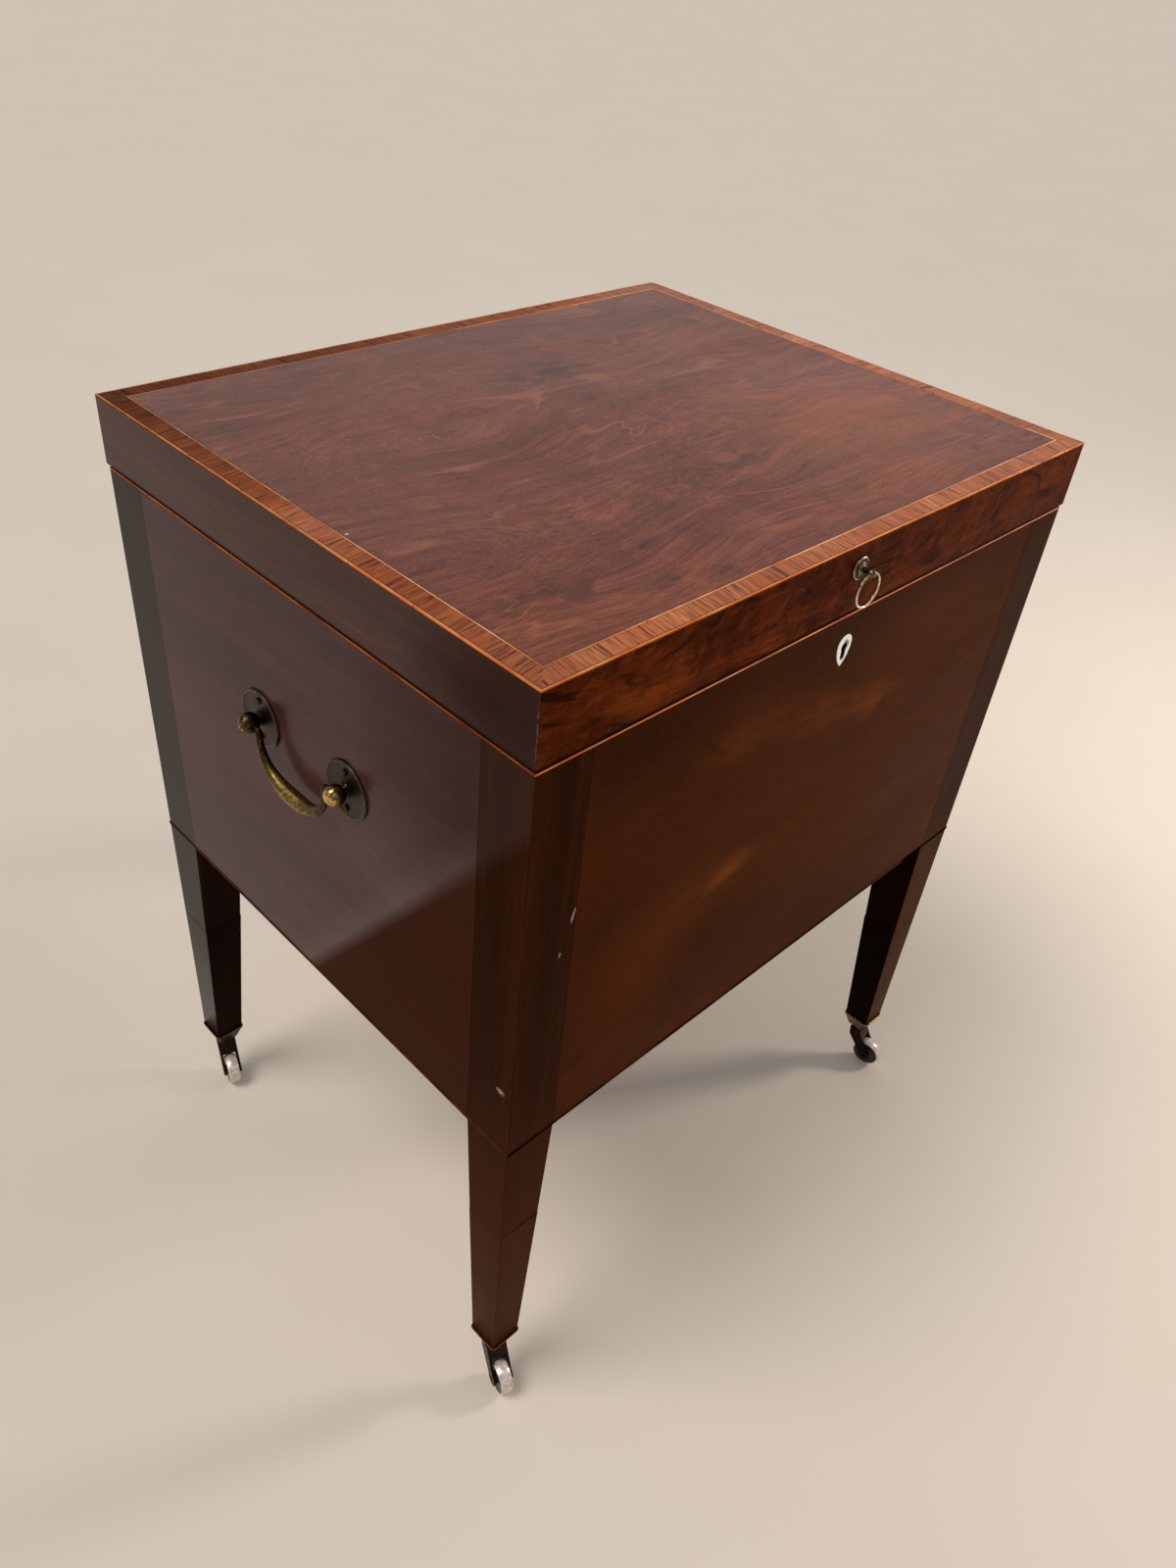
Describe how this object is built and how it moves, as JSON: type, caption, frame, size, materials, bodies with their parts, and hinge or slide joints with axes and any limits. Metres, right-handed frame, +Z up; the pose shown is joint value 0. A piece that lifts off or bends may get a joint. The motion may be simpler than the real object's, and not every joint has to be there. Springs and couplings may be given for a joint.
{
  "type": "cellarette",
  "caption": "Lidded mahogany bottle case on tapered castored legs, with crossbanded top, side bails, ring pull, lock and fitted divisions.",
  "frame": {"origin": "on the floor under the middle of the case", "axes": "+Z up, +Y towards the hinges at the back, +X to the right of someone who faces the lock"},
  "size_m": [0.5406, 0.4406, 0.655],
  "materials": {
    "panel_mahogany": "french polished, dark red brown",
    "leg_mahogany": "french polished, darker",
    "field_mahogany": "french polished, figured",
    "crossband_wood": "french polished, cross grained",
    "boxwood": "french polished, pale string",
    "inner_wood": "waxed, plain grain",
    "bone": "polished bone",
    "old_brass": "dark patinated brass, rubbed bright on its high places",
    "iron": "dull iron",
    "castor_wheel": "tread worn pale and bright, dark sides"
  },
  "bodies": {
    "case": {"front_panel": "panel_mahogany", "back_panel": "panel_mahogany", "left_panel": "panel_mahogany", "right_panel": "panel_mahogany", "corner_post_front_left": "leg_mahogany", "corner_post_front_right": "leg_mahogany", "corner_post_back_left": "leg_mahogany", "corner_post_back_right": "leg_mahogany", "leg_tip_front_left": "leg_mahogany", "leg_tip_front_right": "leg_mahogany", "leg_tip_back_left": "leg_mahogany", "leg_tip_back_right": "leg_mahogany", "bottom_board": "inner_wood", "case_top_string": "boxwood", "case_bottom_bead": "leg_mahogany", "long_dividers": "inner_wood", "cross_dividers": "inner_wood", "escutcheon": "bone", "lock_plate": "old_brass", "lock_cap": "old_brass", "lock_key_pin": "old_brass", "hinge_case_leaves": "old_brass", "hinge_pins": "old_brass", "case_screws": "iron", "left_handle_roses": "old_brass", "right_handle_roses": "old_brass", "left_handle_posts": "old_brass", "right_handle_posts": "old_brass", "handle_nuts": "iron", "handle_rose_pins": "old_brass", "castor_cups": "old_brass"},
    "lid": {"lid_front_rail": "panel_mahogany", "lid_back_rail": "panel_mahogany", "lid_left_rail": "panel_mahogany", "lid_right_rail": "panel_mahogany", "lid_top_board": "inner_wood", "lid_field_veneer": "field_mahogany", "lid_crossbanding": "crossband_wood", "lid_inner_string": "boxwood", "lid_outer_string": "boxwood", "hinge_lid_leaves": "old_brass", "lid_screws": "iron", "lock_link_plate": "old_brass", "ring_pull_post": "old_brass"},
    "ring_pull": {"ring_pull_ring": "old_brass"},
    "lock_bolt": {"lock_bolt": "old_brass"},
    "left_bail": {"left_bail": "old_brass"},
    "right_bail": {"right_bail": "old_brass"},
    "castor_horn_front_left": {"castor_horn_front_left": "old_brass", "castor_axle_front_left": "iron"},
    "castor_wheel_front_left": {"castor_wheel_front_left": "castor_wheel"},
    "castor_horn_front_right": {"castor_horn_front_right": "old_brass", "castor_axle_front_right": "iron"},
    "castor_wheel_front_right": {"castor_wheel_front_right": "castor_wheel"},
    "castor_horn_back_left": {"castor_horn_back_left": "old_brass", "castor_axle_back_left": "iron"},
    "castor_wheel_back_left": {"castor_wheel_back_left": "castor_wheel"},
    "castor_horn_back_right": {"castor_horn_back_right": "old_brass", "castor_axle_back_right": "iron"},
    "castor_wheel_back_right": {"castor_wheel_back_right": "castor_wheel"}
  },
  "joints": [
    {"name": "lid_hinge", "type": "hinge", "parent": "case", "child": "lid", "pos_m": [0, 0.2105, 0.6081], "axis": [-1, 0, 0], "range_deg": [0, 95]},
    {"name": "ring_pull_swing", "type": "hinge", "parent": "lid", "child": "ring_pull", "pos_m": [-0.0065, -0.2154, 0.639], "axis": [-1, 0, 0], "range_deg": [-14, 165]},
    {"name": "lock_bolt_slide", "type": "slide", "parent": "case", "child": "lock_bolt", "axis": [1, 0, 0], "range_m": [0, 0.006]},
    {"name": "left_bail_swing", "type": "hinge", "parent": "case", "child": "left_bail", "pos_m": [-0.2633, 0, 0.5], "axis": [0, 1, 0], "range_deg": [-4, 170]},
    {"name": "right_bail_swing", "type": "hinge", "parent": "case", "child": "right_bail", "pos_m": [0.2633, 0, 0.5], "axis": [0, -1, 0], "range_deg": [-4, 170]},
    {"name": "castor_swivel_front_left", "type": "hinge", "parent": "case", "child": "castor_horn_front_left", "pos_m": [-0.2418, -0.1938, 0.043], "axis": [0, 0, 1], "continuous": true},
    {"name": "castor_roll_front_left", "type": "hinge", "parent": "castor_horn_front_left", "child": "castor_wheel_front_left", "pos_m": [-0.24648, -0.2091, 0.014], "axis": [0.9563, -0.2924, 0], "continuous": true},
    {"name": "castor_swivel_front_right", "type": "hinge", "parent": "case", "child": "castor_horn_front_right", "pos_m": [0.2418, -0.1938, 0.043], "axis": [0, 0, 1], "continuous": true},
    {"name": "castor_roll_front_right", "type": "hinge", "parent": "castor_horn_front_right", "child": "castor_wheel_front_right", "pos_m": [0.24458, -0.20956, 0.014], "axis": [0.9848, 0.1736, 0], "continuous": true},
    {"name": "castor_swivel_back_left", "type": "hinge", "parent": "case", "child": "castor_horn_back_left", "pos_m": [-0.2418, 0.1938, 0.043], "axis": [0, 0, 1], "continuous": true},
    {"name": "castor_roll_back_left", "type": "hinge", "parent": "castor_horn_back_left", "child": "castor_wheel_back_left", "pos_m": [-0.24674, 0.17858, 0.014], "axis": [0.9511, -0.309, 0], "continuous": true},
    {"name": "castor_swivel_back_right", "type": "hinge", "parent": "case", "child": "castor_horn_back_right", "pos_m": [0.2418, 0.1938, 0.043], "axis": [0, 0, 1], "continuous": true},
    {"name": "castor_roll_back_right", "type": "hinge", "parent": "castor_horn_back_right", "child": "castor_wheel_back_right", "pos_m": [0.2443, 0.178, 0.014], "axis": [0.9877, 0.1564, 0], "continuous": true}
  ]
}
